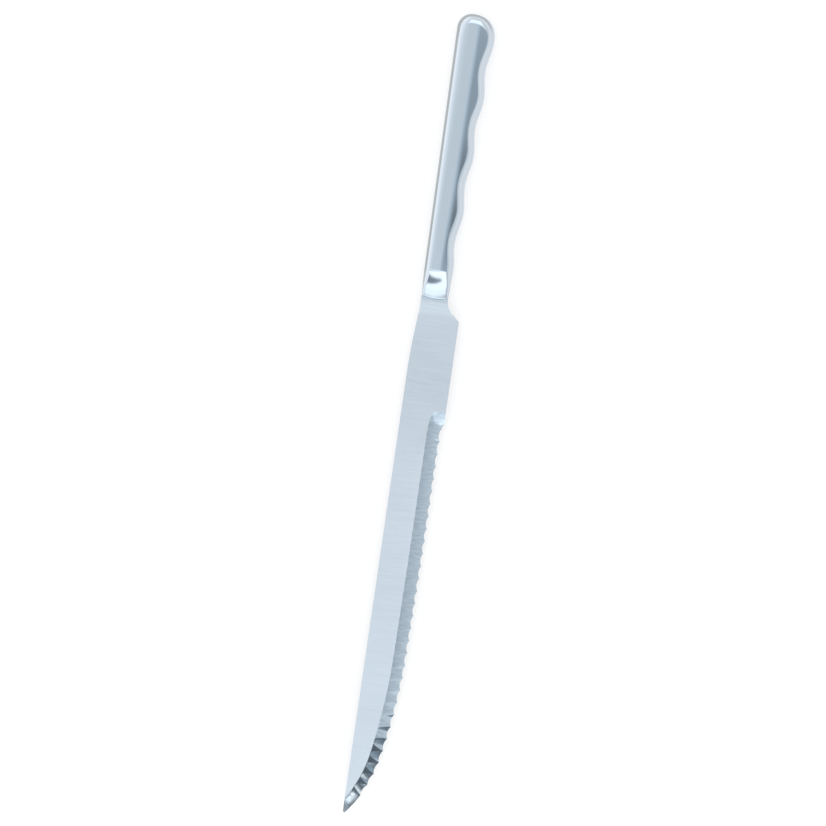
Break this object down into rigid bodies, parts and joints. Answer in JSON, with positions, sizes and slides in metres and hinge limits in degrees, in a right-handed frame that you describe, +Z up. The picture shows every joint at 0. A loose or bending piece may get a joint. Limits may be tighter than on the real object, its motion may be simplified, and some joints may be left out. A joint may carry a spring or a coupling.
{
  "type": "serving knife",
  "caption": "Long serrated serving knife with a slim single-bevel blade, an upswept tip and a hollow polished steel handle with finger grooves.",
  "frame": {"origin": "under the middle of the knife's length and width, on the surface that it lies on", "axes": "+X along the knife from butt to tip, +Y across it towards the cutting edge, +Z up out of the face that carries the bevel"},
  "size_m": [0.355, 0.0196, 0.0119],
  "materials": {
    "ground_steel": "satin",
    "polished_steel": "polished",
    "filler_metal": "satin",
    "cement": "matte"
  },
  "bodies": {
    "root": {"blade": "ground_steel", "handle_shell_front": "polished_steel", "handle_shell_back": "polished_steel", "seam_braze": "filler_metal", "mouth_solder_front": "filler_metal", "mouth_solder_back": "filler_metal", "tang_cement": "cement"}
  },
  "joints": []
}
